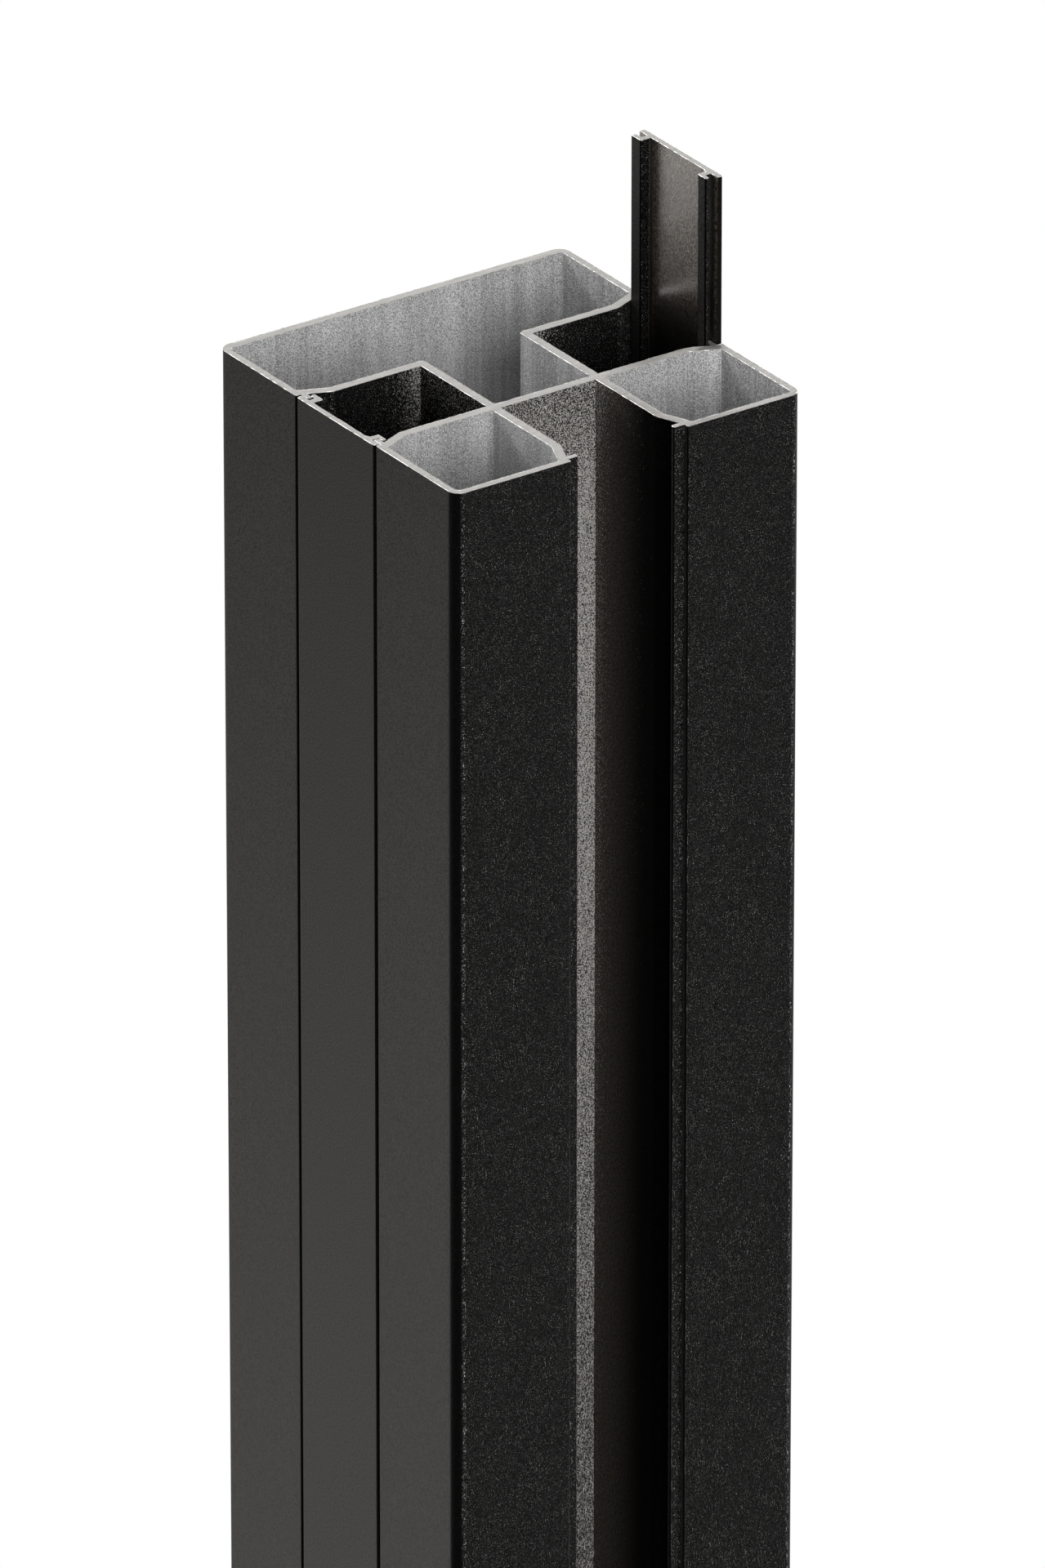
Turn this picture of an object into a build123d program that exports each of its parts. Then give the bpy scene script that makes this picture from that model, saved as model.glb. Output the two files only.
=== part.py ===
# Slotted fence post: one extruded aluminium profile with a slot in three of
# its faces, and two cover strips that slide along the slots no board is in.
# Millimetres, +Z up the post, origin in the middle of the foot.
# The open front slot faces -Y, the covered slots face -X and +X, the plain back faces +Y.

import os

from build123d import *

os.makedirs("parts", exist_ok=True)

# Post: outside and walls
post_size = 80.0
post_length = 1900.0
corner_radius = 2.5
inner_corner_radius = 1.0
outer_wall = 1.5
back_wall = 1.9
inner_wall = 1.9
core_radius = 0.9

# Slots: a straight channel that flares out towards a wider mouth
slot_width = 22.0
mouth_width = 26.8
lip_overhang = 0.57
flare_depth = 7.0
bend_radius = 3.0

# Lips: the face's edge at the mouth, and the tongue set back behind it
tongue_setback = 1.15
tongue_thickness = 1.1
tongue_length = 2.4
tongue_radius = 0.35
mouth_edge_radius = 0.4

# Cover strips: a plate with a plain hook at one edge and an anchor hook at the other
cover_thickness = 1.2
cover_edge_radius = 0.4
cover_raise = 35.0
hook_leg = 1.25
hook_toe = 0.9
hook_round = 0.4
anchor_leg = 1.35
anchor_toe = 1.0
anchor_bevel = 0.4
root_rise = 0.3
root_run = 1.1

# Clearances that let a cover slide along the two tongues it grips
plate_clearance = 0.15
toe_clearance = 0.12
hook_tip_gap = 0.15
anchor_tip_gap = 0.65
hook_wall_gap = 0.18
anchor_wall_gap = 0.44
hook_edge_gap = 0.25
anchor_edge_gap = 0.6

# Worked out from the values above, for a slot in the front face
face = -post_size / 2
slot_half = slot_width / 2
mouth_half = mouth_width / 2
core_half = slot_half + inner_wall
slot_floor = -core_half
flare_bend = face + flare_depth
flare_half = mouth_half + lip_overhang
flare_slope = (flare_half - slot_half) / flare_depth
tongue_tip = mouth_half - tongue_length
tongue_front = face + tongue_setback
tongue_back = tongue_front + tongue_thickness
lip_root_front = flare_half + inner_wall / 2
lip_root_back = lip_root_front - (tongue_back - face) * flare_slope
core_reach = core_half + inner_wall / 2
slot_turns = {"left": -90, "front": 0, "right": 90}


# Slot body: half is drawn, from the face down to the floor, and mirrored
with BuildSketch() as slot_body:
    with BuildLine():
        Polyline(
            (0, face),
            (flare_half, face),
            (slot_half, flare_bend),
            (slot_half, slot_floor),
            (0, slot_floor),
            close=True,
        )
    make_face()
    fillet(slot_body.vertices().sort_by_distance((slot_half, flare_bend))[0], bend_radius)
    mirror(about=Plane.YZ)

# Slot shell: the slot body with its wall around it
with BuildSketch() as slot_shell:
    add(slot_body.sketch)
    offset(amount=inner_wall, kind=Kind.INTERSECTION)

# Lips: both edges of a mouth, each the end of the face wall with its tongue, rooted in the flare wall
with BuildSketch() as slot_lips:
    with BuildLine():
        Polyline(
            (lip_root_front, face),
            (mouth_half, face),
            (mouth_half, tongue_front),
            (tongue_tip, tongue_front),
            (tongue_tip, tongue_back),
            (lip_root_back, tongue_back),
            close=True,
        )
    make_face()
    fillet(slot_lips.vertices().sort_by_distance((mouth_half, face))[0], mouth_edge_radius)
    fillet(slot_lips.vertices().sort_by_distance((tongue_tip, tongue_front))[0], tongue_radius)
    fillet(slot_lips.vertices().sort_by_distance((tongue_tip, tongue_back))[0], tongue_radius)
    mirror(about=Plane.YZ)

# Chambers: what the slot shells leave of the inside, two corner tubes and one big hollow
with BuildSketch() as chambers:
    with Locations((0, (outer_wall - back_wall) / 2)):
        RectangleRounded(
            post_size - 2 * outer_wall,
            post_size - outer_wall - back_wall,
            inner_corner_radius,
        )
    for turn in slot_turns.values():
        add(slot_shell.sketch, rotation=turn, mode=Mode.SUBTRACT)
    core_corners = chambers.vertices().filter_by_position(Axis.X, -core_reach, core_reach)
    core_corners = core_corners.filter_by_position(Axis.Y, -core_reach, core_reach)
    fillet(core_corners, core_radius)

# Post profile
with BuildSketch() as post_section:
    RectangleRounded(post_size, post_size, corner_radius)
    add(chambers.sketch, mode=Mode.SUBTRACT)
    for turn in slot_turns.values():
        add(slot_body.sketch, rotation=turn, mode=Mode.SUBTRACT)
        add(slot_lips.sketch, rotation=turn)

with BuildPart() as post_profile:
    add(post_section.sketch)
    extrude(amount=post_length)


# Cover section: lies in the mouth of the front slot, with the plain hook on the +X side
plate_back = tongue_front - plate_clearance
plate_front = plate_back - cover_thickness
toe_front = tongue_back + toe_clearance
hook_edge = mouth_half - hook_edge_gap
hook_out = tongue_tip - hook_tip_gap
hook_in = hook_out - hook_leg
hook_back = toe_front + hook_toe
hook_end = flare_half - (hook_back - face) * flare_slope - hook_wall_gap
anchor_edge = -(mouth_half - anchor_edge_gap)
anchor_out = -(tongue_tip - anchor_tip_gap)
anchor_in = anchor_out + anchor_leg
anchor_back = toe_front + anchor_toe
anchor_end = -(flare_half - (anchor_back - face) * flare_slope - anchor_wall_gap)

with BuildSketch() as cover_section:
    with BuildLine():
        Polyline(
            (hook_edge, plate_front),
            (hook_edge, plate_back),
            (hook_out, plate_back),
            (hook_out, toe_front),
            (hook_end, toe_front),
            (hook_end, hook_back),
            (hook_in, hook_back),
            (hook_in, plate_back + root_rise),
            (hook_in - root_run, plate_back),
            (anchor_in, plate_back),
            (anchor_in, anchor_back),
            (anchor_end, anchor_back),
            (anchor_end, toe_front + anchor_bevel),
            (anchor_end + anchor_bevel, toe_front),
            (anchor_out, toe_front),
            (anchor_out, plate_back),
            (anchor_edge, plate_back),
            (anchor_edge, plate_front),
            close=True,
        )
    make_face()
    for edge in (hook_edge, anchor_edge):
        fillet(cover_section.vertices().sort_by_distance((edge, plate_front))[0], cover_edge_radius)
    for corner in ((hook_end, toe_front), (hook_end, hook_back), (hook_in, hook_back)):
        fillet(cover_section.vertices().sort_by_distance(corner)[0], hook_round)
    fillet(cover_section.vertices().sort_by_distance((anchor_in, anchor_back))[0], hook_round)


# Left cover: pushed home, its end flush with the post's
with BuildPart() as left_cover:
    with BuildSketch():
        add(cover_section.sketch, rotation=slot_turns["left"])
    extrude(amount=post_length)

# Right cover: the same strip turned end for end, drawn up out of its slot
with BuildSketch() as turned_cover_section:
    add(mirror(cover_section.sketch, about=Plane.YZ, mode=Mode.PRIVATE), rotation=slot_turns["right"])

with BuildPart() as right_cover:
    with BuildSketch(Plane.XY.offset(cover_raise)):
        add(turned_cover_section.sketch)
    extrude(amount=post_length)


post_profile.part.label = "post_profile"
export_step(post_profile.part, "parts/post_profile.step")

left_cover.part.label = "left_cover"
export_step(left_cover.part, "parts/left_cover.step")

right_cover.part.label = "right_cover"
export_step(right_cover.part, "parts/right_cover.step")
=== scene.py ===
import math

import bpy
from mathutils import Matrix, Vector, noise
from mathutils.geometry import tessellate_polygon


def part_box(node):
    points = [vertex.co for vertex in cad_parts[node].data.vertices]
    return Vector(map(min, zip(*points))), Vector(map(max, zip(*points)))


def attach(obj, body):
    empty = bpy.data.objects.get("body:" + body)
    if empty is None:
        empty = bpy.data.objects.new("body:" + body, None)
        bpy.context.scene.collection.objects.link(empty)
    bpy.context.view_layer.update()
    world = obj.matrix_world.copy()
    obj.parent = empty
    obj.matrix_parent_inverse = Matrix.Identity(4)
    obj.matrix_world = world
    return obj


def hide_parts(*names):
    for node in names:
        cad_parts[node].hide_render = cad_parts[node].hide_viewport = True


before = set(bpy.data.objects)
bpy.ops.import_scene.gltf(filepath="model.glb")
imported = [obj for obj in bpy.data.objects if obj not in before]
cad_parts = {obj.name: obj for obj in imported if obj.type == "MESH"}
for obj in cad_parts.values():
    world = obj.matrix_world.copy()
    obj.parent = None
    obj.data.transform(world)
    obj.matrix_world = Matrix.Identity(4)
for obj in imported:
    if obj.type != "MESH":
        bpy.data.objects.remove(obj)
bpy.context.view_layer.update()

# Post: outside and walls
post_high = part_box("post_profile")[1]
post_half = post_high.x
post_length = post_high.z
corner_radius = 0.0025
inner_corner_radius = 0.001
outer_wall = 0.0015
back_wall = 0.0019
inner_wall = 0.0019
core_radius = 0.0009

# Slots: a straight channel that flares out towards a wider mouth
slot_half = 0.011
mouth_half = 0.0134
flare_half = 0.01397
flare_depth = 0.007
bend_radius = 0.003

# Lips: the face's edge at the mouth, and the tongue set back behind it
tongue_setback = 0.00115
tongue_thickness = 0.0011
tongue_length = 0.0024
tongue_radius = 0.00035
mouth_edge_radius = 0.0004

# Cover strips: a plate with a plain hook at one edge and an anchor hook at the other
cover_thickness = 0.0012
cover_edge_radius = 0.0004
hook_leg = 0.00125
hook_toe = 0.0009
hook_round = 0.0004
anchor_leg = 0.00135
anchor_toe = 0.001
anchor_bevel = 0.0004
root_rise = 0.0003
root_run = 0.0011
plate_clearance = 0.00015
toe_clearance = 0.00012
hook_tip_gap = 0.00015
anchor_tip_gap = 0.00065
hook_wall_gap = 0.00018
anchor_wall_gap = 0.00044
hook_edge_gap = 0.00025
anchor_edge_gap = 0.0006

# Worked out from the values above, for a slot in the front face
face = -post_half
core_half = slot_half + inner_wall
slot_depth = post_half - core_half
flare_bend = face + flare_depth
flare_slope = (flare_half - slot_half) / flare_depth
tongue_tip = mouth_half - tongue_length
tongue_front = face + tongue_setback
tongue_back = tongue_front + tongue_thickness
plate_back = tongue_front - plate_clearance
slot_turns = {"left": -90, "front": 0, "right": 90}

# Mesh: the chords of its arcs, and the angle from which an edge is drawn sharp
arc_step = math.radians(9)
sharp_angle = math.radians(14)

# Saw cuts: a burr of uneven height on the edges of the top end, and broken edges at the foot
edge_spacing = 0.0005
burr_height = 0.00009
burr_crest = 0.00006
burr_width = 0.00022
burr_scatter = 0.0011
burr_mean = 0.6
burr_least = 0.15
edge_break = 0.00008
top_edge_break = edge_break * 0.3

# Finishes on every piece, in the order of its material slots
coat_slot, cut_slot, burr_slot, inside_slot = range(4)

# Rings of vertices of an extrusion, from the foot up, and the first that carries the burr
ring_count = 5
burr_ring = 2

# Coat: where it changes, and where its painted light, shade, sheen and glow change, in depths below a face
# and in distances from the top end
skin = 0.0002
seam = 0.00002
mouth_dark_from = 0.004
mouth_dark_to = 0.012
side_cover_depth = 0.001
# Painted sheen on the outer faces that look left and right reaches this far below a face
painted_sheen_depth = 0.0041
painted_sheen_edge = 0.0005
# Painted glow on the front slot's walls starts at this depth
glow_from = 0.010
end_patch_from = 0.008
end_patch_to = 0.020
thinner_from = 0.018
floor_edge = 0.005
near_end = 0.025
# Painted shade in the slots grows between these distances below the top end
far_down_from = 0.05
far_down_to = 0.30
overspray_reach = 0.03
# How far the painted shade on the cover strips' insides looks for the post and for the hooks
slot_reach = 0.03
hook_reach = 0.0016

# Grain sizes of the finishes, and how high their bumps are
drift_grain = 0.008
clump_grain = 0.0009
coat_grain = 0.0004
fine_speck_grain = 0.00024
bright_speck_grain = 0.0002
glow_grain = 0.0005
painted_sheen_grain = 0.0003
bare_patch_grain = 0.00027
coat_bump_grain = 0.0003
coat_bump = 0.00005
inner_coat_grain = 0.00045
orange_peel_grain = 0.0005
orange_peel_bump = 0.00012
broad_streak_grain = 0.004
fine_streak_grain = 0.0009
glint_grain = 0.0003
overspray_grain = 0.00024
draw_mark_grain = 0.0006
draw_mark_bump = 0.00002
saw_mark_grain = 0.0012
saw_mark_bump = 0.00003
grit_grain = 0.0003
burr_grain = 0.0008

# Stretches that draw a noise out along the post, or across a saw cut
broad_stretch = (1, 1, 0.03)
fine_stretch = (1, 1, 0.02)
draw_stretch = (1, 1, 0.05)
saw_stretch = (0.25, 1.6, 1)

# Colours of the coats
coat_dark = (0.0007, 0.0007, 0.0007)
coat_light = (0.0018, 0.00175, 0.0017)
# Specks of the coat that also carry painted glints: they show only on faces that look to the front and back
fine_speck_and_glint = (0.012, 0.0117, 0.0113)
bright_speck_and_glint = (0.36, 0.353, 0.342)
# Painted glow on the front slot's walls
glow = (0.05, 0.044, 0.037)
# Painted sheen: a lighter grey for the outer faces that look left and right
painted_sheen_dark = (0.007, 0.0067, 0.0064)
painted_sheen_light = (0.026, 0.025, 0.0238)
# Bare metal where the coat thins out; how much of it shows also carries painted light and shade
bare_patch = (0.335, 0.322, 0.305)
# Painted shade on the cover strips' insides, in the slot and close beside the hooks
painted_cavity_shade = (0.001, 0.0009, 0.0008)
inner_dark = (0.008, 0.0072, 0.0062)
inner_light = (0.13, 0.116, 0.102)
inner_gloss = (1, 0.94, 0.87, 1)

# Colours of the bare metal
chamber_dark = (0.34, 0.34, 0.34)
chamber_light = (0.53, 0.53, 0.53)
streak = (0.78, 0.78, 0.78)
# Painted glints in the chambers' metal
glint = (0.85, 0.85, 0.85)
overspray = (0.06, 0.06, 0.06)
cut_dark = (0.35, 0.34, 0.325)
cut_light = (0.44, 0.428, 0.41)
grit = (0.32, 0.31, 0.295)
burr_dark = (0.27, 0.262, 0.25)
burr_light = (0.44, 0.428, 0.411)

# Camera: a long lens at the photograph's angle, its focal length given in the photograph's pixels
sensor = 36.0
image_height = 1920
lens_pixels = 25735.8
view_azimuth = -34.639
view_elevation = 26.32
view_distance = 4.0
aim_right = 0.00246
aim_up = -0.07884
clip_end = 200

# Studio: an even fill, one tinted lamp, and a white floor that keeps a faint shadow close to the post
fill_level = 0.22
warm_white = (1, 0.975, 0.93)
floor_colour = (0.8, 0.8, 0.8, 1)
floor_half = 60.0
floor_shade = 0.8
shadow_near = 0.5
shadow_far = 3.0


def rounded(corners):
    """Closed outline through corners (x, y, radius), its rounded corners cut into short chords."""
    outline = []
    for index, (x, y, radius) in enumerate(corners):
        corner = Vector((x, y))
        if not radius:
            outline.append(corner)
            continue
        before = (Vector(corners[index - 1][:2]) - corner).normalized()
        after = (Vector(corners[(index + 1) % len(corners)][:2]) - corner).normalized()
        half_angle = before.angle(after) / 2
        centre = corner + (before + after).normalized() * (radius / math.sin(half_angle))
        start = corner + before * (radius / math.tan(half_angle)) - centre
        end = corner + after * (radius / math.tan(half_angle)) - centre
        sweep = math.atan2(start.cross(end), start.dot(end))
        steps = max(2, round(abs(sweep) / arc_step))
        for step in range(steps + 1):
            outline.append(centre + Matrix.Rotation(sweep * step / steps, 2) @ start)
    return outline


def turned(corners, degrees):
    """The same corners, turned about the post's axis."""
    turn = Matrix.Rotation(math.radians(degrees), 2)
    return [(*(turn @ Vector((x, y))), radius) for x, y, radius in corners]


def mirrored(corners):
    """The same corners seen in a mirror across X, in the order that keeps the outline's direction."""
    return [(-x, y, radius) for x, y, radius in reversed(corners)]


def slot_corners():
    """Corners of the front slot, from its left mouth edge down to the floor and out again."""
    flare_at_tongue = flare_half - (tongue_back - face) * flare_slope
    right = [
        (slot_half, -core_half, 0),
        (slot_half, flare_bend, bend_radius),
        (flare_at_tongue, tongue_back, 0),
        (tongue_tip, tongue_back, tongue_radius),
        (tongue_tip, tongue_front, tongue_radius),
        (mouth_half, tongue_front, 0),
        (mouth_half, face, mouth_edge_radius),
    ]
    return mirrored(right) + right


def post_corners():
    """Corners of the post's outside, counter-clockwise from the front slot round to the left one."""
    corners = []
    for side in ("front", "right"):
        corners += turned(slot_corners(), slot_turns[side])
        corners += turned([(post_half, -post_half, corner_radius)], slot_turns[side])
    corners.append((-post_half, post_half, corner_radius))
    corners += turned(slot_corners(), slot_turns["left"])
    corners.append((-post_half, -post_half, corner_radius))
    return corners


def shell_bend():
    """Where the outside of a slot's wall turns from straight to flared, and where it meets the face wall."""
    run = Vector((flare_half - slot_half, -flare_depth)).normalized()
    outward = Vector((-run.y, run.x)) * inner_wall
    start = Vector((slot_half, flare_bend)) + outward
    bend = start + run * ((core_half - start.x) / run.x)
    meeting = start + run * ((face + outer_wall - start.y) / run.y)
    return bend, meeting


def post_loops():
    """The post's outline, counter-clockwise, and its three chambers, clockwise."""
    bend, meeting = shell_bend()
    bend_inside = bend_radius - inner_wall
    inner_face = post_half - outer_wall
    right_tube = [
        (core_half, -core_half, core_radius),
        (-bend.y, -bend.x, bend_inside),
        (-meeting.y, -meeting.x, 0),
        (inner_face, -inner_face, inner_corner_radius),
        (meeting.x, meeting.y, 0),
        (bend.x, bend.y, bend_inside),
    ]
    half_chamber = [
        (slot_half, -slot_half, core_radius),
        (slot_half, core_half, core_radius),
        (-bend.y, bend.x, bend_inside),
        (-meeting.y, meeting.x, 0),
        (inner_face, post_half - back_wall, inner_corner_radius),
    ]
    chamber = list(reversed(mirrored(half_chamber) + half_chamber))
    return [rounded(corners) for corners in (post_corners(), right_tube, mirrored(right_tube), chamber)]


def cover_corners():
    """Corners of a cover's section in the mouth of the front slot, counter-clockwise, plain hook on +X."""
    plate_front = plate_back - cover_thickness
    toe_front = tongue_back + toe_clearance
    hook_edge = mouth_half - hook_edge_gap
    hook_out = tongue_tip - hook_tip_gap
    hook_in = hook_out - hook_leg
    hook_back = toe_front + hook_toe
    hook_end = flare_half - (hook_back - face) * flare_slope - hook_wall_gap
    anchor_edge = -(mouth_half - anchor_edge_gap)
    anchor_out = -(tongue_tip - anchor_tip_gap)
    anchor_in = anchor_out + anchor_leg
    anchor_back = toe_front + anchor_toe
    anchor_end = -(flare_half - (anchor_back - face) * flare_slope - anchor_wall_gap)
    return [
        (hook_edge, plate_front, cover_edge_radius),
        (hook_edge, plate_back, 0),
        (hook_out, plate_back, 0),
        (hook_out, toe_front, 0),
        (hook_end, toe_front, hook_round),
        (hook_end, hook_back, hook_round),
        (hook_in, hook_back, hook_round),
        (hook_in, plate_back + root_rise, 0),
        (hook_in - root_run, plate_back, 0),
        (anchor_in, plate_back, 0),
        (anchor_in, anchor_back, hook_round),
        (anchor_end, anchor_back, 0),
        (anchor_end, toe_front + anchor_bevel, 0),
        (anchor_end + anchor_bevel, toe_front, 0),
        (anchor_out, toe_front, 0),
        (anchor_out, plate_back, 0),
        (anchor_edge, plate_back, 0),
        (anchor_edge, plate_front, cover_edge_radius),
    ]


def divided(outline):
    """The outline with its long runs cut up, so that a burr can vary along them."""
    points = []
    for start, end in zip(outline, outline[1:] + outline[:1]):
        count = max(1, math.ceil((end - start).length / edge_spacing))
        points += [start.lerp(end, step / count) for step in range(count)]
    return points


def inward(points):
    """At each point of a loop, the way into the metal, long enough to move both its sides by one."""
    ways = []
    for before, point, after in zip(points[-1:] + points[:-1], points, points[1:] + points[:1]):
        first = (point - before).normalized()
        second = (after - point).normalized()
        way = Vector((-first.y - second.y, first.x + second.x))
        ways.append(way * (2 / way.length_squared))
    return ways


def rings(points, bottom, top):
    """One loop's rings of vertices, from the broken edge of the foot up to the inner side of the burr."""
    stack = [[] for ring in range(ring_count)]
    for point, way in zip(points, inward(points)):
        scatter = noise.noise(Vector((*point, top)) / burr_scatter)
        ragged = max(burr_least, burr_mean + scatter)
        inset = point + way * edge_break
        crest = point + way * burr_crest
        inner = point + way * burr_width
        stack[0].append((*inset, bottom))
        stack[1].append((*point, bottom + edge_break))
        stack[2].append((*point, top - top_edge_break))
        stack[3].append((*crest, top + burr_height * ragged))
        stack[4].append((*inner, top))
    return stack


def side_faces(points, base, wall_finish):
    """Faces between one loop's rings, whose vertices start at base, and the finish of each face."""
    count = len(points)
    faces = []
    finishes = []
    for level in range(ring_count - 1):
        low = base + level * count
        high = low + count
        for index, point in enumerate(points):
            after = (index + 1) % count
            faces.append((low + index, low + after, high + after, high + index))
            middle = (point + points[after]) / 2
            finishes.append(burr_slot if level >= burr_ring else wall_finish(middle))
    return faces, finishes


def cap_faces(vertices, cap_rings, upward):
    """Flat faces that close one end between its rings, turned up or down."""
    order = [index for ring in cap_rings for index in ring]
    outlines = [[Vector(vertices[index]) for index in ring] for ring in cap_rings]
    faces = []
    for corners in tessellate_polygon(outlines):
        a, b, c = (order[corner] for corner in corners)
        ab = Vector(vertices[b]) - Vector(vertices[a])
        ac = Vector(vertices[c]) - Vector(vertices[a])
        faces.append((a, b, c) if (ab.cross(ac).z > 0) == upward else (a, c, b))
    return faces


def extrusion(name, loops, bottom, top, wall_finishes):
    """A closed extrusion through loops, with burred edges at the top and broken edges at the foot."""
    vertices = []
    faces = []
    finishes = []
    foot_rings = []
    top_rings = []
    for loop, wall_finish in zip(loops, wall_finishes):
        points = divided(loop)
        base = len(vertices)
        for ring in rings(points, bottom, top):
            vertices += ring
        loop_faces, loop_finishes = side_faces(points, base, wall_finish)
        faces += loop_faces
        finishes += loop_finishes
        foot_rings.append(range(base, base + len(points)))
        top_rings.append(range(len(vertices) - len(points), len(vertices)))
    caps = cap_faces(vertices, foot_rings, upward=False) + cap_faces(vertices, top_rings, upward=True)
    faces += caps
    finishes += [cut_slot] * len(caps)

    mesh = bpy.data.meshes.new(name)
    mesh.from_pydata(vertices, [], faces)
    mesh.polygons.foreach_set("material_index", finishes)
    mesh.polygons.foreach_set("use_smooth", [True] * len(faces))
    mesh.set_sharp_from_angle(angle=sharp_angle)
    mesh.validate()
    return placed(name, mesh)


def placed(name, data):
    """A new object in the scene that shows this mesh, lamp or camera."""
    thing = bpy.data.objects.new(name, data)
    bpy.context.scene.collection.objects.link(thing)
    return thing


class Nodes:
    """A node tree, with short ways to add the nodes that the finishes and the world share."""

    def __init__(self, tree):
        self.tree = tree

    def add(self, kind, **settings):
        node = self.tree.nodes.new(kind)
        for name, value in settings.items():
            setattr(node, name, value)
        return node

    def feed(self, socket, value):
        """Joins a value's socket to another, or sets the socket to a plain value."""
        if isinstance(value, bpy.types.NodeSocket):
            self.tree.links.new(value, socket)
        else:
            socket.default_value = value

    def math(self, operation, first, second=0.0):
        node = self.add("ShaderNodeMath", operation=operation)
        self.feed(node.inputs[0], first)
        self.feed(node.inputs[1], second)
        return node.outputs[0]

    def total(self, first, *others):
        for other in others:
            first = self.math("ADD", first, other)
        return first

    def product(self, first, *others):
        for other in others:
            first = self.math("MULTIPLY", first, other)
        return first

    def ramp(self, value, low, high, out_low=0.0, out_high=1.0):
        """value taken smoothly from the range low to high into another."""
        node = self.add("ShaderNodeMapRange", interpolation_type="SMOOTHSTEP")
        self.feed(node.inputs["Value"], value)
        self.feed(node.inputs["From Min"], low)
        self.feed(node.inputs["From Max"], high)
        self.feed(node.inputs["To Min"], out_low)
        self.feed(node.inputs["To Max"], out_high)
        return node.outputs["Result"]

    def parts(self, vector):
        """The three parts of a vector's socket."""
        node = self.add("ShaderNodeSeparateXYZ")
        self.feed(node.inputs[0], vector)
        return node.outputs

    def seen(self):
        """1 for rays from the eye, reflected rays and rays through glass, else 0."""
        rays = self.add("ShaderNodeLightPath").outputs
        direct = self.math("MAXIMUM", rays["Is Camera Ray"], rays["Is Glossy Ray"])
        return self.math("MAXIMUM", direct, rays["Is Transmission Ray"])


class Finish(Nodes):
    """A new material, with its patterns laid out in metres on the piece."""

    def __init__(self, name):
        self.material = bpy.data.materials.new(name)
        self.material.use_nodes = True
        super().__init__(self.material.node_tree)
        self.surface = self.tree.nodes["Principled BSDF"]
        self.texture_places = self.add("ShaderNodeTexCoord").outputs
        self.place = self.texture_places["Object"]

    def stretched(self, scale):
        """The place on the piece, scaled along each axis."""
        node = self.add("ShaderNodeMapping")
        self.feed(node.inputs["Vector"], self.place)
        node.inputs["Scale"].default_value = scale
        return node.outputs["Vector"]

    def noise(self, size, detail=2.0, roughness=0.5, place=None):
        """Noise whose grains are about size metres across."""
        node = self.add("ShaderNodeTexNoise")
        self.feed(node.inputs["Vector"], place or self.place)
        node.inputs["Scale"].default_value = 1 / size
        node.inputs["Detail"].default_value = detail
        node.inputs["Roughness"].default_value = roughness
        return node.outputs["Fac"]

    def openness(self, distance, only_local=False):
        """1 where nothing stands within a distance of the surface, less in corners and cavities."""
        node = self.add("ShaderNodeAmbientOcclusion", samples=8, only_local=only_local)
        node.inputs["Distance"].default_value = distance
        return node.outputs["AO"]

    def blend(self, factor, first, second):
        """A colour between two others."""
        node = self.add("ShaderNodeMix", data_type="RGBA")
        self.feed(node.inputs["Factor"], factor)
        self.feed(node.inputs["A"], with_alpha(first))
        self.feed(node.inputs["B"], with_alpha(second))
        return node.outputs["Result"]

    def bump(self, height, distance, strength=1.0):
        node = self.add("ShaderNodeBump")
        self.feed(node.inputs["Height"], height)
        node.inputs["Distance"].default_value = distance
        node.inputs["Strength"].default_value = strength
        self.feed(self.surface.inputs["Normal"], node.outputs["Normal"])

    def set(self, **values):
        """Sets the surface shader's own sockets, such as base_color or roughness."""
        for name, value in values.items():
            label = name.replace("_", " ").title().replace("Ior", "IOR")
            self.feed(self.surface.inputs[label], value)


def with_alpha(colour):
    """A colour's socket as it is, or three numbers with a full alpha."""
    return colour if isinstance(colour, bpy.types.NodeSocket) else (*colour, 1)


def below_face(finish):
    """How far a point lies below the nearest face of the post."""
    x, y = finish.parts(finish.place)[:2]
    outermost = finish.math("MAXIMUM", finish.math("ABSOLUTE", x), finish.math("ABSOLUTE", y))
    return finish.math("SUBTRACT", post_half, outermost)


def bare_and_painted_light_share(finish, depth):
    """Where the coat thins out: deep in the slots, most of all on the open front slot's floor. The same
    amount also carries painted light and shade: less metal on the covered slots' floor and further down the
    post, more on the slot walls near the top end.
    """
    x, y, z = finish.parts(finish.place)
    in_line = finish.ramp(finish.math("ABSOLUTE", x), slot_half - seam, slot_half + seam, 1.0, 0.0)
    in_front = finish.product(finish.math("LESS_THAN", y, -slot_half), in_line)
    on_floor = finish.ramp(depth, slot_depth - skin, slot_depth)
    on_front_floor = finish.product(in_front, on_floor)

    by_depth = finish.ramp(depth, mouth_dark_from, mouth_dark_to, -0.25, -0.08)
    deep = finish.ramp(depth, thinner_from, slot_depth, 0.0, 0.12)
    by_floor = finish.ramp(depth, slot_depth - floor_edge, slot_depth, 0.0, 0.04)
    # More metal on the open front slot's floor, where the coat is thin, and less on the covered slots' floor,
    # as painted shade
    floors = finish.product(on_floor, finish.math("SUBTRACT", finish.product(in_front, 0.185), 0.085))
    # Painted light near the top end: more metal on the slot walls, less on the front slot's floor
    painted_light_by_end = finish.product(
        finish.ramp(z, post_length - near_end, post_length, 0.0, 0.05),
        finish.ramp(on_front_floor, 0.0, 1.0, 1.0, -1.0),
        finish.ramp(depth, end_patch_from, end_patch_to),
    )
    # Painted shade further down the post: less metal shows from 5 cm below the top end downwards
    painted_shade_far_down = finish.ramp(z, post_length - far_down_to, post_length - far_down_from, -0.095, 0.0)
    return finish.total(by_depth, deep, by_floor, floors, painted_light_by_end, painted_shade_far_down)


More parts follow.
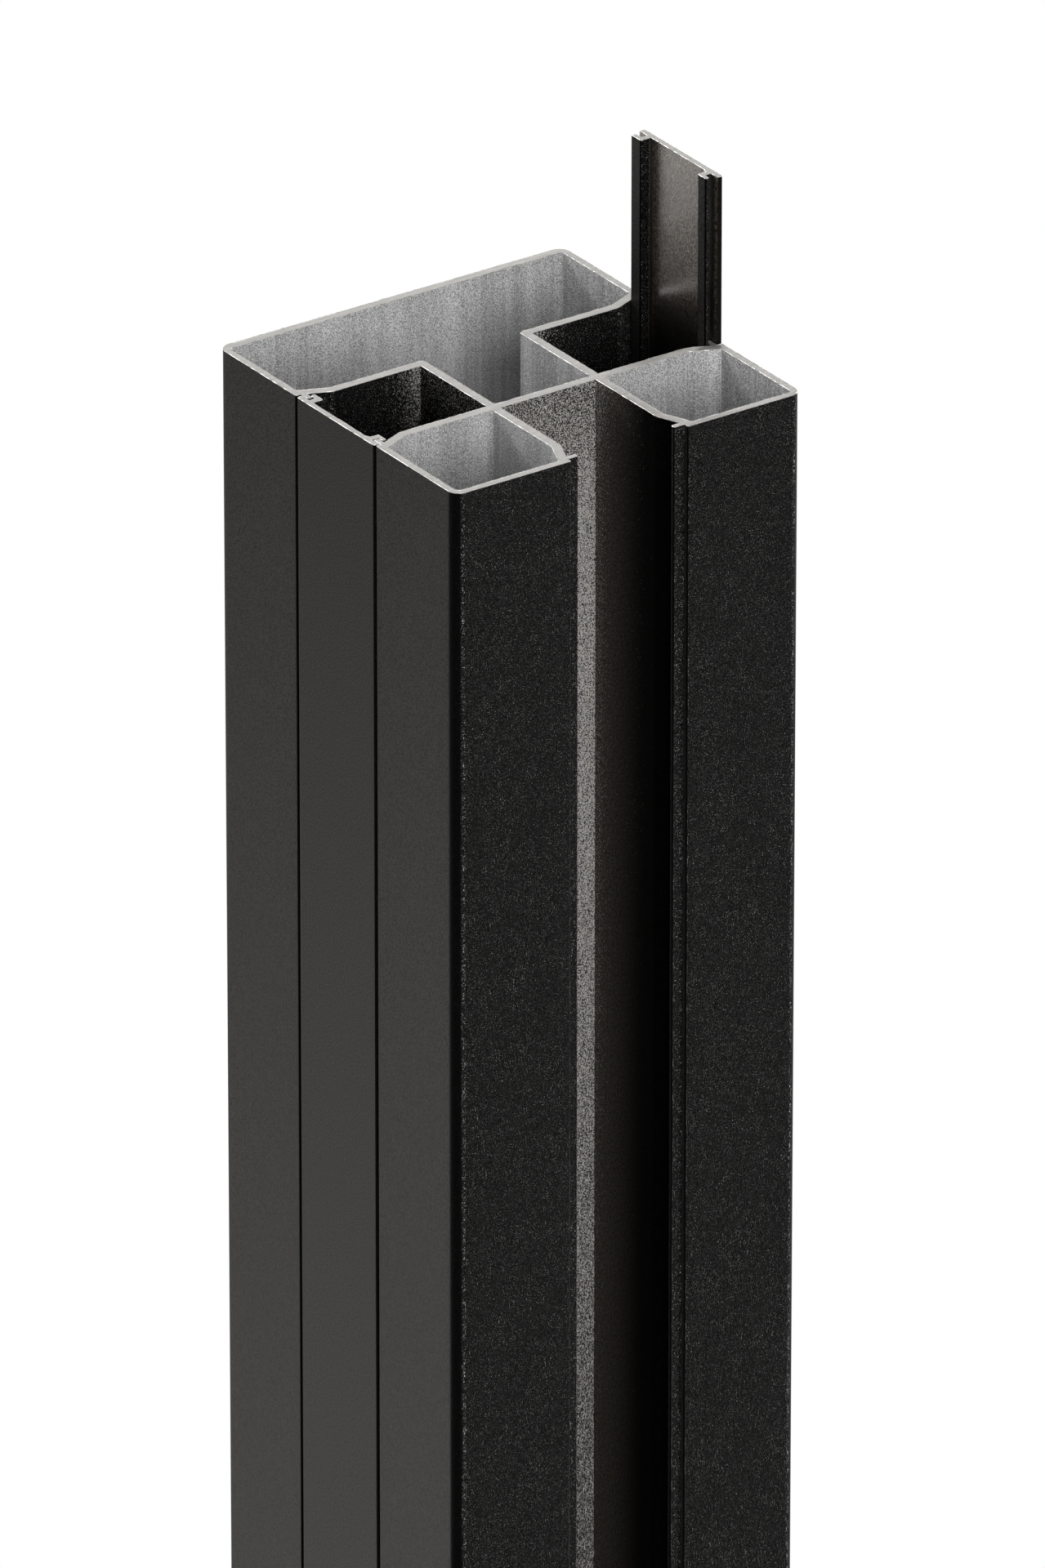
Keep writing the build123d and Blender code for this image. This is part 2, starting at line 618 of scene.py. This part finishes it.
def painted_glint_share(finish, normal_y):
    """Painted glints: the pale specks show only on faces that look to the front and back, brightest on
    rounded edges as they begin to turn away; the rest of each corner is left as a painted dark band, and the
    side cover strips' edges get few.
    """
    facing = finish.math("ABSOLUTE", normal_y)
    # Painted glint line on rounded edges where they begin to turn away from the front or back
    painted_edge_glint = finish.product(
        finish.ramp(facing, 0.87, 0.95, 0.0, 1.8),
        finish.ramp(facing, 0.985, 0.999, 1.0, 0.0),
    )
    glint_by_facing = finish.total(finish.ramp(facing, 0.87, 0.98, 0.03, 1.0), painted_edge_glint)
    x, y = finish.parts(finish.place)[:2]
    in_mouth = finish.math("LESS_THAN", finish.math("ABSOLUTE", y), flare_half)
    cover_back = post_half - side_cover_depth
    at_side = finish.ramp(finish.math("ABSOLUTE", x), cover_back - skin / 2, cover_back + skin / 2)
    on_side_cover = finish.product(in_mouth, at_side)
    return finish.product(glint_by_facing, finish.ramp(on_side_cover, 0.0, 1.0, 1.0, 0.05))


def specked_coat(finish, share):
    """Near-black grain with fine grey specks and a few bright ones, in clumps and drifts, shown only as far
    as the painted glints allow.
    """
    drifts = finish.ramp(finish.noise(drift_grain, 3), 0.3, 0.7, 0.6, 1.0)
    clumps = finish.ramp(finish.noise(clump_grain, 1), 0.35, 0.65, 0.3, 1.0)
    fine = finish.ramp(finish.noise(fine_speck_grain, 1), 0.42, 0.74)
    bright = finish.ramp(finish.noise(bright_speck_grain, 1, 0.4), 0.62, 0.76)
    grain = finish.ramp(finish.noise(coat_grain, 3), 0.35, 0.75)
    coat = finish.blend(grain, coat_dark, coat_light)
    coat = finish.blend(finish.product(fine, share), coat, fine_speck_and_glint)
    return finish.blend(finish.product(bright, drifts, clumps, share), coat, bright_speck_and_glint)


def painted_wall_glow(finish, depth):
    """Share of a painted glow: a warm grey on the front slot's walls, growing towards its floor."""
    y = finish.parts(finish.place)[1]
    return finish.product(
        finish.ramp(depth, glow_from, slot_depth),
        finish.math("LESS_THAN", y, -slot_half),
        finish.ramp(depth, slot_depth - skin, slot_depth, 1.0, 0.1),
        finish.ramp(finish.noise(glow_grain, 3, 0.6), 0.3, 0.7, 0.35, 1.5),
    )


def painted_sheen_share(finish, normal_x, depth):
    """Painted sheen: a lighter, even grey put on the outer faces that look left and right."""
    return finish.product(
        finish.ramp(finish.math("ABSOLUTE", normal_x), 0.985, 0.9995),
        finish.ramp(depth, painted_sheen_depth - painted_sheen_edge, painted_sheen_depth + painted_sheen_edge, 1.0, 0.0),
    )


def powder_coat():
    """Fine-textured near-black powder coat with pale specks that show as painted glints; deep in the slots it
    thins out to bare metal, with painted light and shade in how much metal shows. The side faces carry a
    painted sheen and the front slot's walls a painted glow.
    """
    finish = Finish("powder_coat")
    normal_x, normal_y = finish.parts(finish.texture_places["Normal"])[:2]
    depth = below_face(finish)
    # Painted glints: the specks show only where faces look to the front and back
    coat = specked_coat(finish, painted_glint_share(finish, normal_y))
    # Painted glow on the front slot's walls, rising towards its floor
    coat = finish.blend(painted_wall_glow(finish, depth), coat, glow)
    # Painted sheen on the outer faces that look left and right
    painted_sheen = finish.blend(finish.ramp(finish.noise(painted_sheen_grain, 2), 0.3, 0.7), painted_sheen_dark, painted_sheen_light)
    coat = finish.blend(painted_sheen_share(finish, normal_x, depth), coat, painted_sheen)
    patches = finish.noise(bare_patch_grain, 2, 0.6)
    bare = finish.ramp(finish.total(patches, bare_and_painted_light_share(finish, depth)), 0.58, 0.75)
    colour = finish.blend(bare, coat, bare_patch)
    finish.set(base_color=colour, roughness=0.3, specular_ior_level=0.016)
    finish.bump(finish.noise(coat_bump_grain, 2), coat_bump, 0.9)
    return finish.material


def inner_coat():
    """Smoother, glossier coat with an orange peel on the insides of the cover strips, with painted shade in
    the slot and close beside the hooks.
    """
    finish = Finish("inner_coat")
    grain = finish.ramp(finish.noise(inner_coat_grain, 2, 0.6), 0.38, 0.68)
    # Painted shade: near black where the post stands round the cover in its slot, and close beside the hooks
    own_openness = finish.openness(slot_reach, only_local=True)
    out_of_slot = finish.math("SUBTRACT", finish.openness(slot_reach), own_openness)
    off_hooks = finish.openness(hook_reach, only_local=True)
    unshaded_share = finish.product(
        finish.ramp(out_of_slot, -0.27, -0.15),
        finish.ramp(off_hooks, 0.6, 0.85, 0.05, 1.0),
    )
    colour = finish.blend(unshaded_share, painted_cavity_shade, finish.blend(grain, inner_dark, inner_light))
    finish.set(base_color=colour, roughness=0.3, specular_ior_level=0.2)
    finish.set(coat_weight=1.0, coat_roughness=0.24, coat_tint=inner_gloss)
    finish.bump(finish.noise(orange_peel_grain, 2, 0.6), orange_peel_bump)
    return finish.material


def bare_chamber():
    """Mill-finish metal inside the chambers: dull grey, streaked along the post, with painted glints and dark
    overspray.
    """
    finish = Finish("bare_chamber")
    broad_streaks = finish.noise(broad_streak_grain, 2, 0.5, finish.stretched(broad_stretch))
    fine_streaks = finish.noise(fine_streak_grain, 3, 0.6, finish.stretched(fine_stretch))
    glints = finish.noise(glint_grain, 1)
    metal = finish.blend(finish.ramp(broad_streaks, 0.3, 0.7), chamber_dark, chamber_light)
    metal = finish.blend(finish.ramp(fine_streaks, 0.4, 0.75, 0.0, 0.35), metal, streak)
    # Painted glints: near-white flecks in the metal's colour
    metal = finish.blend(finish.ramp(glints, 0.45, 0.75, 0.0, 0.7), metal, glint)

    z = finish.parts(finish.place)[2]
    more_by_end = finish.ramp(z, post_length - overspray_reach, post_length, 0.0, 0.07)
    dots = finish.total(finish.noise(overspray_grain, 2, 0.6), more_by_end)
    colour = finish.blend(finish.product(finish.ramp(dots, 0.52, 0.66), 0.7), metal, overspray)
    finish.set(base_color=colour, metallic=0.2, roughness=0.5)
    draw_marks = finish.noise(draw_mark_grain, 2, 0.5, finish.stretched(draw_stretch))
    finish.bump(draw_marks, draw_mark_bump, 0.5)
    return finish.material


def saw_cut():
    """Freshly sawn end: light warm grey with fine marks across it."""
    finish = Finish("saw_cut")
    marks = finish.noise(saw_mark_grain, 3, 0.6, finish.stretched(saw_stretch))
    dull_spots = finish.ramp(finish.noise(grit_grain, 2), 0.45, 0.75, 0.0, 0.5)
    colour = finish.blend(finish.ramp(marks, 0.3, 0.7), cut_dark, cut_light)
    colour = finish.blend(dull_spots, colour, grit)
    finish.set(base_color=colour, metallic=0.7, roughness=0.4)
    finish.bump(marks, saw_mark_bump, 0.4)
    return finish.material


def burr():
    """Bright edge that the saw pulled up."""
    finish = Finish("burr")
    patches = finish.ramp(finish.noise(burr_grain, 2), 0.35, 0.65)
    colour = finish.blend(patches, burr_dark, burr_light)
    finish.set(base_color=colour, metallic=0.5, roughness=0.35)
    return finish.material


def floor():
    """Plain pale floor: white to the eye and in reflections, apart from the shadow that it keeps."""
    corners = [(-1, -1), (1, -1), (1, 1), (-1, 1)]
    mesh = bpy.data.meshes.new("floor")
    mesh.from_pydata([(x * floor_half, y * floor_half, 0) for x, y in corners], [], [(0, 1, 2, 3)])
    finish = Finish("floor")
    finish.set(base_color=floor_colour, roughness=0.9, specular_ior_level=0.0)
    white = finish.add("ShaderNodeEmission")
    mixed = finish.add("ShaderNodeMixShader")
    reach = finish.add("ShaderNodeVectorMath", operation="LENGTH")
    finish.feed(reach.inputs[0], finish.place)
    whiteness = finish.ramp(reach.outputs["Value"], shadow_near, shadow_far, floor_shade, 1.0)
    finish.feed(mixed.inputs[0], finish.product(finish.seen(), whiteness))
    finish.feed(mixed.inputs[1], finish.surface.outputs[0])
    finish.feed(mixed.inputs[2], white.outputs[0])
    finish.feed(finish.tree.nodes["Material Output"].inputs["Surface"], mixed.outputs[0])
    mesh.materials.append(finish.material)
    placed("floor", mesh)


def studio_world():
    """White where it is seen, and a dim even fill for the rest."""
    world = bpy.data.worlds.new("studio")
    world.use_nodes = True
    bpy.context.scene.world = world
    nodes = Nodes(world.node_tree)
    background = nodes.tree.nodes["Background"]
    background.inputs["Color"].default_value = (1, 1, 1, 1)
    nodes.feed(background.inputs["Strength"], nodes.ramp(nodes.seen(), 0, 1, fill_level, 1.0))


def heading(azimuth, elevation):
    """Unit vector from the post towards a place round it. Azimuth 0 is in front, 90 on the right."""
    around = math.radians(azimuth)
    upward = math.radians(elevation)
    level = math.cos(upward)
    return Vector((math.sin(around) * level, -math.cos(around) * level, math.sin(upward)))


def softbox(name, way, distance, size, level, aim_height, colour=(1, 1, 1)):
    """Lamp facing the post. At level 1 a surface that faces it renders about as its colour is written."""
    light = bpy.data.lights.new(name, "AREA")
    light.shape = "RECTANGLE"
    light.size, light.size_y = size
    light.energy = level * (math.pi * distance) ** 2
    light.color = colour
    lamp = placed(name, light)
    lamp.location = Vector((0, 0, aim_height)) + way * distance
    lamp.rotation_euler = way.to_track_quat("Z", "Y").to_euler()
    lamp.visible_camera = False


def camera():
    """Long lens at the photograph's angle, aimed a little below the top end."""
    data = bpy.data.cameras.new("camera")
    data.sensor_width = sensor
    data.lens = lens_pixels / image_height * sensor
    data.clip_end = clip_end
    view = placed("camera", data)
    back = heading(view_azimuth, view_elevation)
    turn = back.to_track_quat("Z", "Y")
    right = turn @ Vector((1, 0, 0))
    up = turn @ Vector((0, 1, 0))
    aim = Vector((0, 0, post_length)) + right * aim_right + up * aim_up
    view.location = aim + back * view_distance
    view.rotation_euler = turn.to_euler()
    bpy.context.scene.camera = view


def dress(piece, body, node, finishes):
    """Gives a piece its materials, sets it on its body and takes the CAD node's place."""
    for finish in finishes:
        piece.data.materials.append(finish)
    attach(piece, body)
    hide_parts(node)


def post(finishes):
    """The post itself: coated outside and in the slots, bare in its three chambers."""
    loops = post_loops()

    def coated(middle):
        return coat_slot

    def bare(middle):
        return inside_slot

    walls = [coated] + [bare] * (len(loops) - 1)
    piece = extrusion("fence_post", loops, 0, post_length, walls)
    dress(piece, "post", "post_profile", finishes)


def cover(side, corners, finishes):
    """A cover strip in its own slot: textured outside and on its hooks, smoother on the plate's inside."""
    node = f"{side}_cover"
    low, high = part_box(node)
    turn = slot_turns[side]

    def wall(middle):
        behind_plate = (Matrix.Rotation(-math.radians(turn), 2) @ middle).y - plate_back
        return inside_slot if -edge_break < behind_plate < root_rise else coat_slot

    piece = extrusion(f"cover_strip_{side}", [rounded(turned(corners, turn))], low.z, high.z, [wall])
    dress(piece, f"{side}_strip", node, finishes)


shared = [powder_coat(), saw_cut(), burr()]
post(shared + [bare_chamber()])
cover_finishes = shared + [inner_coat()]
cover("left", cover_corners(), cover_finishes)
cover("right", mirrored(cover_corners()), cover_finishes)

floor()
studio_world()
softbox("key", heading(-12, 27), distance=4.0, size=(2.2, 2.2), level=0.88, aim_height=1.5)
softbox("top", heading(150, 78), distance=4.0, size=(3.0, 3.0), level=0.4, aim_height=1.2)
softbox(
    "behind_left", heading(-141, -22), distance=1.25, size=(0.85, 0.80), level=0.66, aim_height=1.25,
    colour=warm_white,
)
softbox("right_side", heading(92, 4), distance=4.0, size=(2.0, 2.2), level=0.75, aim_height=1.2)
softbox("back", heading(192, 4), distance=4.0, size=(2.0, 2.2), level=0.75, aim_height=1.2)
softbox("behind_left_high", heading(-145, 26), distance=2.5, size=(0.6, 0.6), level=0.45, aim_height=1.9)
softbox("front_low", heading(35, -26), distance=1.6, size=(0.9, 0.9), level=0.21, aim_height=1.8)
softbox("corner_low", heading(-10, -26), distance=1.6, size=(0.35, 0.9), level=0.10, aim_height=1.8)
camera()

bpy.context.scene.view_settings.view_transform = "Standard"
